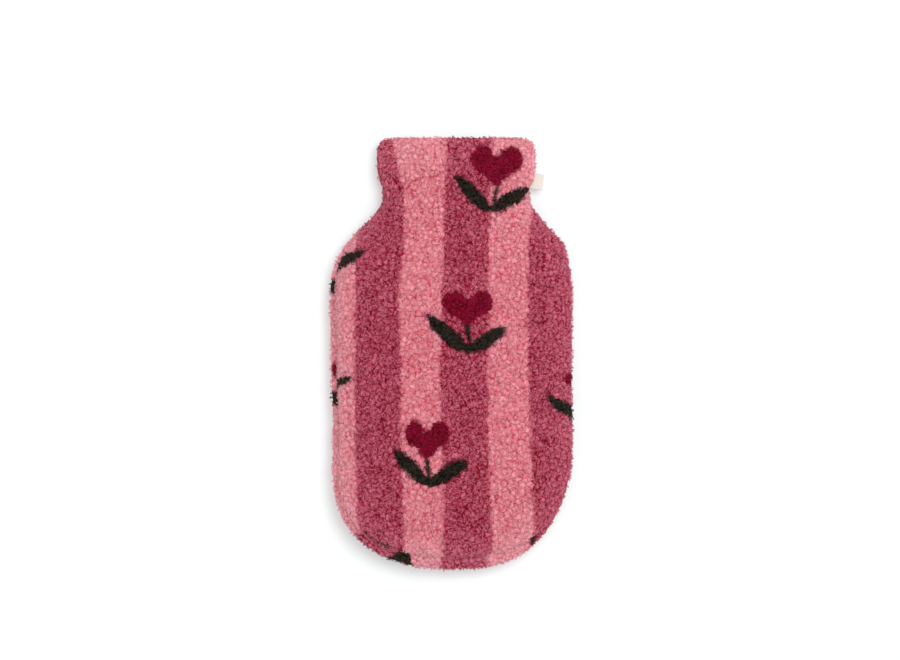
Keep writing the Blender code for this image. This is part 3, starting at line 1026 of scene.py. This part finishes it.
TAPE_Y = LABEL_Y + 0.0032  # a little nearer the mouth than the CAD label
LABEL_SUNK = 0.0045  # how far its ends reach into the seam
LABEL_SHOWING = 0.0125  # how far it stands out past the seam
LABEL_LEAN = math.radians(-8.0)
TAPE_THICKNESS = 0.42 * MM
TAPE_FOLD = 0.36 * MM  # radius of the fold, at the middle of the tape
TAPE_NIPPED = 0.72  # how close the two layers lie at their ends, which the seam nips
TAPE_CURVE = 0.5 * MM  # the tape isn't quite flat across its width
TAPE_DIP = 0.3  # share of that curve by which its middle lies lower
TAPE_CELLS, TAPE_STEPS, FOLD_STEPS = 16, 14, 9  # across, along each layer, round the fold

# The tape's line from one end round the fold to the other, seen from its edge
straight = np.linspace(-LABEL_SUNK, LABEL_SHOWING - TAPE_FOLD - TAPE_THICKNESS / 2, TAPE_STEPS)
turning = np.linspace(math.pi / 2, -math.pi / 2, FOLD_STEPS)[1:-1]
line = [(x, TAPE_FOLD) for x in straight]
line += [(straight[-1] + TAPE_FOLD * math.cos(a), TAPE_FOLD * math.sin(a)) for a in turning]
line += [(x, -TAPE_FOLD) for x in straight[::-1]]
line = np.array(line)
from_end = np.clip((line[:, 0] + LABEL_SUNK) / (LABEL_SUNK + LABEL_SHOWING), 0.0, 1.0)
line[:, 1] *= TAPE_NIPPED + (1.0 - TAPE_NIPPED) * from_end
walked = np.concatenate(((0.0,), np.cumsum(np.linalg.norm(np.diff(line, axis=0), axis=1))))

bm = bmesh.new()
run = bm.verts.layers.float.new("run")
wide = bm.verts.layers.float.new("wide")
rows = []
for (x, z), length in zip(line, walked):
    row = []
    for k in range(TAPE_CELLS + 1):
        w = (k / TAPE_CELLS - 0.5) * LABEL_WIDTH
        curve = 4.0 * (w / LABEL_WIDTH) ** 2 - TAPE_DIP
        vert = bm.verts.new((x, w, z + TAPE_CURVE * curve * max(x, 0.0) / LABEL_SHOWING))
        vert[run], vert[wide] = length / MM, w / MM
        row.append(vert)
    rows.append(row)
for lower, upper in zip(rows, rows[1:]):
    for k in range(TAPE_CELLS):
        bm.faces.new((lower[k], lower[k + 1], upper[k + 1], upper[k]))
bmesh.ops.rotate(bm, matrix=Matrix.Rotation(LABEL_LEAN, 3, "Z"), verts=bm.verts)
seam_x = float(half_width(np.array(TAPE_Y), 0.0) + station(SHIFT, np.array(TAPE_Y)))
for vert in bm.verts:
    x, y = vert.co.x + seam_x, vert.co.y + TAPE_Y
    z = vert.co.z + float(seam_height(np.array(x), np.array(y)))
    vert.co = (x + over_origin[0], y + over_origin[1], z)
bmesh.ops.recalc_face_normals(bm, faces=bm.faces)
tape_mesh = bpy.data.meshes.new("folded_label_tape")
bm.to_mesh(tape_mesh)
bm.free()
tape_mesh.shade_smooth()

# Label tape: satin-woven cream polyester with a fine rib across it, slightly glossy along the
# threads, softer in the gaps between them, where painted shade darkens it. Its threads are drawn
# 0.5 mm apart so that they show.
THREAD = 0.5  # mm
THREAD_RELIEF = 0.1 * MM

label_weave, tree, shader = add_material("woven_cream_label_tape")
waves = []
for name in ("wide", "run"):
    along_it = add_node(tree, "ShaderNodeAttribute", attribute_name=name).outputs["Fac"]
    angle = add_node(
        tree, "ShaderNodeMath", {0: along_it, 1: math.tau / THREAD}, operation="MULTIPLY"
    )
    waves.append(add_node(tree, "ShaderNodeMath", {0: angle}, operation="SINE"))
weave = add_node(tree, "ShaderNodeMath", {0: waves[0], 1: waves[1]}, operation="MULTIPLY")
# Painted shade: the gaps between the threads are darker
painted_gap_shade = add_node(tree, "ShaderNodeMapRange", {"Value": weave, "From Min": -1.0, "From Max": 0.6})
colour = add_node(
    tree,
    "ShaderNodeMix",
    {"Factor": painted_gap_shade, 6: linear("#dacfc4"), 7: linear("#f1e9e0")},
    data_type="RGBA",
)
relief = add_node(
    tree, "ShaderNodeBump", {"Height": weave, "Strength": 0.6, "Distance": THREAD_RELIEF}
)
set_inputs(
    tree,
    shader,
    {
        "Base Color": colour,
        "Normal": relief,
        "Roughness": 0.6,
        "Specular IOR Level": 0.35,
        "Sheen Weight": 0.1,
    },
)

side_tape = add_object("folded_side_label", tape_mesh, label_weave)
tape = side_tape.modifiers.new("tape", "SOLIDIFY")
tape.thickness = TAPE_THICKNESS
tape.offset = 0.0
ready = side_tape.evaluated_get(bpy.context.evaluated_depsgraph_get())
side_tape.data = bpy.data.meshes.new_from_object(ready)
side_tape.modifiers.clear()
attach(side_tape, "root")
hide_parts("side_label")


# ---------------------------------------------------------------------------------------------
# Floor, light and camera. A pale studio table, a wide soft light from the upper right, and a
# long lens straight above the cover.

FLOOR_SIZE, FLOOR_CELLS = 8.0, 8
MOTTLE_SIZE = 1 / 3
bpy.ops.mesh.primitive_grid_add(
    x_subdivisions=FLOOR_CELLS, y_subdivisions=FLOOR_CELLS, size=FLOOR_SIZE
)
floor = bpy.context.object
floor.name = "floor"

# The table is matt opal acrylic, lit a little from below, with the faintest mottle
opal, tree, shader = add_material("matt_opal_acrylic_table")
places = add_node(tree, "ShaderNodeTexCoord").outputs["Object"]
mottle = add_node(tree, "ShaderNodeTexNoise", {"Vector": places, "Scale": 1 / MOTTLE_SIZE})
colour = set_stops(
    add_node(tree, "ShaderNodeValToRGB", {"Fac": mottle}), ((0.3, "#cfd6d5"), (0.7, "#d2d9d8"))
)
set_inputs(
    tree,
    shader,
    {
        "Base Color": colour,
        "Roughness": 1.0,
        "Specular IOR Level": 0.0,
        "Emission Color": linear("#ffffff"),
        "Emission Strength": 0.31,
    },
)
floor.data.materials.append(opal)

KEY_PLACE, KEY_SIZE, KEY_POWER = (0.48, 0.50, 2.0), 1.0, 24.5
key = bpy.data.objects.new("key", bpy.data.lights.new("key", "AREA"))
key.data.shape = "SQUARE"
key.data.size = KEY_SIZE
key.data.energy = KEY_POWER
key.location = KEY_PLACE
key.rotation_euler = (-Vector(KEY_PLACE)).to_track_quat("-Z", "Y").to_euler()
bpy.context.scene.collection.objects.link(key)

world = bpy.data.worlds.new("studio")
world.use_nodes = True
background = world.node_tree.nodes["Background"]
background.inputs["Color"].default_value = linear("#ffffff")
background.inputs["Strength"].default_value = 0.72
bpy.context.scene.world = world
bpy.context.scene.view_settings.view_transform = "Standard"

# The photograph is 765 mm wide at the height of the cover's outline. Its middle lies a little
# nearer the neck than the cover's own.
VIEW_WIDTH = 0.765
VIEW_MIDDLE = (-0.85 * MM, 20.4 * MM)
OUTLINE_HEIGHT = 0.025
CAMERA_HEIGHT = 2.4
SENSOR_WIDTH = 36.0  # mm
camera = bpy.data.objects.new("camera", bpy.data.cameras.new("camera"))
camera.location = (*VIEW_MIDDLE, CAMERA_HEIGHT)
camera.data.sensor_width = SENSOR_WIDTH
camera.data.lens = SENSOR_WIDTH * (CAMERA_HEIGHT - OUTLINE_HEIGHT) / VIEW_WIDTH
camera.data.clip_end = 50.0
bpy.context.scene.collection.objects.link(camera)
bpy.context.scene.camera = camera
